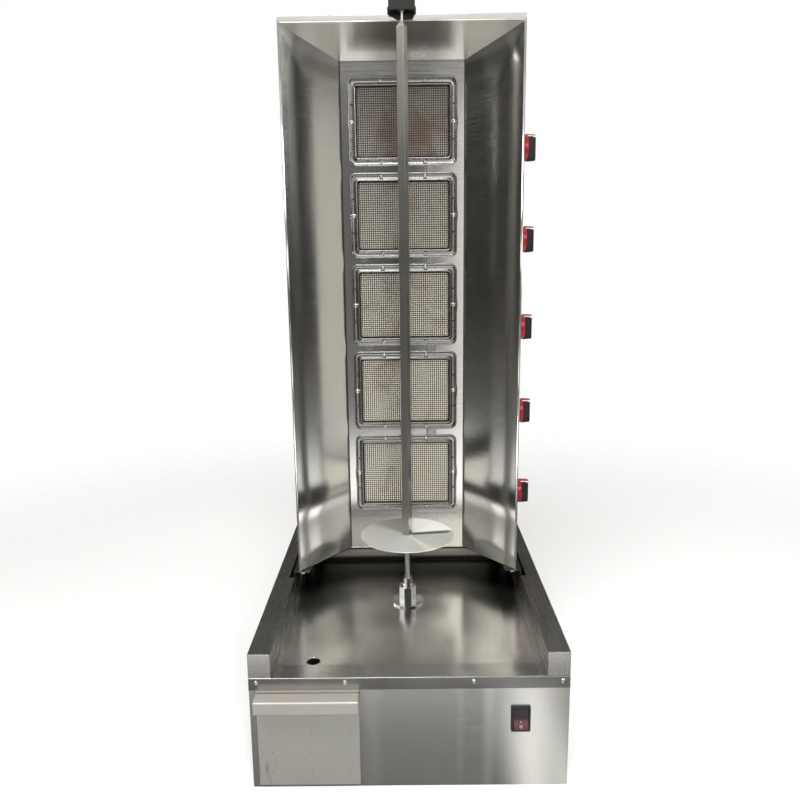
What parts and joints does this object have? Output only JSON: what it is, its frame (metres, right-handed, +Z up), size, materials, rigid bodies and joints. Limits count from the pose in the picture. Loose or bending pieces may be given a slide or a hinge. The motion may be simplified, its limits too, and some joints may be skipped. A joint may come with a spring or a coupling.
{
  "type": "vertical gas rotisserie machine",
  "caption": "Upright gas rotisserie: stainless burner tower sliding on a base with drip pan and grease drawer, motor-driven skewer with meat plate, side knobs and rocker switch.",
  "frame": {"origin": "middle of the base's underside, on the worktop", "axes": "+Z up, +X to the right seen from the front, front (drawer and switch) towards -Y"},
  "size_m": [0.5465, 0.6728, 1.3766],
  "materials": {
    "stainless_sheet": "brushed stainless sheet",
    "bright_steel": "bright pressed or turned steel",
    "wire_screen": "woven wire",
    "pressed_steel": "plain pressed steel",
    "ceramic": "cream porous ceramic",
    "brass": "turned brass",
    "red_plastic": "moulded red plastic with a black grip",
    "black_plastic": "moulded black plastic",
    "dark_red_plastic": "moulded plastic, clear dark red lower half",
    "black_paint": "black paint on steel",
    "grey_paint": "grey painted cast housing"
  },
  "bodies": {
    "base": {"base_front_panel": "stainless_sheet", "base_wrap": "stainless_sheet", "base_floor": "stainless_sheet", "drip_pan": "stainless_sheet", "rail_left": "stainless_sheet", "rail_right": "stainless_sheet", "lip_screws": "bright_steel", "drain_spout": "stainless_sheet", "drawer_runners": "stainless_sheet", "switch_housing": "black_plastic", "cable_gland": "black_plastic", "bearing_housing": "bright_steel", "bearing_bush": "brass", "motor_bracket": "stainless_sheet", "gearbox": "grey_paint", "motor": "grey_paint"},
    "drawer": {"drawer_front": "stainless_sheet", "drawer_tray": "stainless_sheet"},
    "rocker": {"switch_rocker": "dark_red_plastic"},
    "drive": {"drive_shaft": "bright_steel"},
    "skewer": {"skewer": "stainless_sheet"},
    "plate": {"meat_plate": "stainless_sheet"},
    "tower": {"casing_left": "stainless_sheet", "casing_right": "stainless_sheet", "tower_floor": "stainless_sheet", "rear_cover": "stainless_sheet", "tower_lid": "stainless_sheet", "top_reflector": "stainless_sheet", "burner_panel": "stainless_sheet", "tower_runners": "stainless_sheet", "runner_bolts": "bright_steel", "ceramic_tiles": "ceramic", "mixing_bowls": "pressed_steel", "gas_valves": "brass", "gas_manifold": "pressed_steel", "gas_inlet": "brass", "arm_saddle": "black_paint", "arm_clamp": "bright_steel", "burner_frame_1": "bright_steel", "burner_frame_2": "bright_steel", "burner_frame_3": "bright_steel", "burner_frame_4": "bright_steel", "burner_frame_5": "bright_steel", "burner_mesh_1": "wire_screen", "burner_mesh_2": "wire_screen", "burner_mesh_3": "wire_screen", "burner_mesh_4": "wire_screen", "burner_mesh_5": "wire_screen"},
    "arm": {"top_arm": "black_paint", "arm_bush": "brass"},
    "knob_1": {"knob_1": "red_plastic", "valve_stem_1": "brass"},
    "knob_2": {"knob_2": "red_plastic", "valve_stem_2": "brass"},
    "knob_3": {"knob_3": "red_plastic", "valve_stem_3": "brass"},
    "knob_4": {"knob_4": "red_plastic", "valve_stem_4": "brass"},
    "knob_5": {"knob_5": "red_plastic", "valve_stem_5": "brass"}
  },
  "joints": [
    {"name": "drawer_slide", "type": "slide", "parent": "base", "child": "drawer", "axis": [0, -1, 0], "range_m": [0, 0.25]},
    {"name": "switch_rock", "type": "hinge", "parent": "base", "child": "rocker", "pos_m": [0.19, -0.3105, 0.1285], "axis": [1, 0, 0], "range_deg": [0, 16]},
    {"name": "spindle_spin", "type": "hinge", "parent": "base", "child": "drive", "pos_m": [0, -0.0055, 0.2], "axis": [0, 0, 1], "continuous": true},
    {"name": "skewer_lift", "type": "slide", "parent": "drive", "child": "skewer", "axis": [0, 0, 1], "range_m": [0, 0.015]},
    {"name": "plate_lift", "type": "slide", "parent": "skewer", "child": "plate", "axis": [0, 0, 1], "range_m": [0, 0.9]},
    {"name": "tower_slide", "type": "slide", "parent": "base", "child": "tower", "axis": [0, 1, 0], "range_m": [0, 0.05]},
    {"name": "arm_slide", "type": "slide", "parent": "tower", "child": "arm", "axis": [0, 1, 0], "range_m": [-0.05, 0]},
    {"name": "knob_1_turn", "type": "hinge", "parent": "tower", "child": "knob_1", "pos_m": [0.228, 0.1585, 1.1205], "axis": [1, 0, 0], "range_deg": [0, 180]},
    {"name": "knob_2_turn", "type": "hinge", "parent": "tower", "child": "knob_2", "pos_m": [0.228, 0.1585, 0.9355], "axis": [1, 0, 0], "range_deg": [0, 180]},
    {"name": "knob_3_turn", "type": "hinge", "parent": "tower", "child": "knob_3", "pos_m": [0.228, 0.1585, 0.7505], "axis": [1, 0, 0], "range_deg": [0, 180]},
    {"name": "knob_4_turn", "type": "hinge", "parent": "tower", "child": "knob_4", "pos_m": [0.228, 0.1585, 0.5655], "axis": [1, 0, 0], "range_deg": [0, 180]},
    {"name": "knob_5_turn", "type": "hinge", "parent": "tower", "child": "knob_5", "pos_m": [0.228, 0.1585, 0.3805], "axis": [1, 0, 0], "range_deg": [0, 180]}
  ],
  "couplings": [
    {"joint": "arm_slide", "follows": "tower_slide", "ratio": -1}
  ]
}
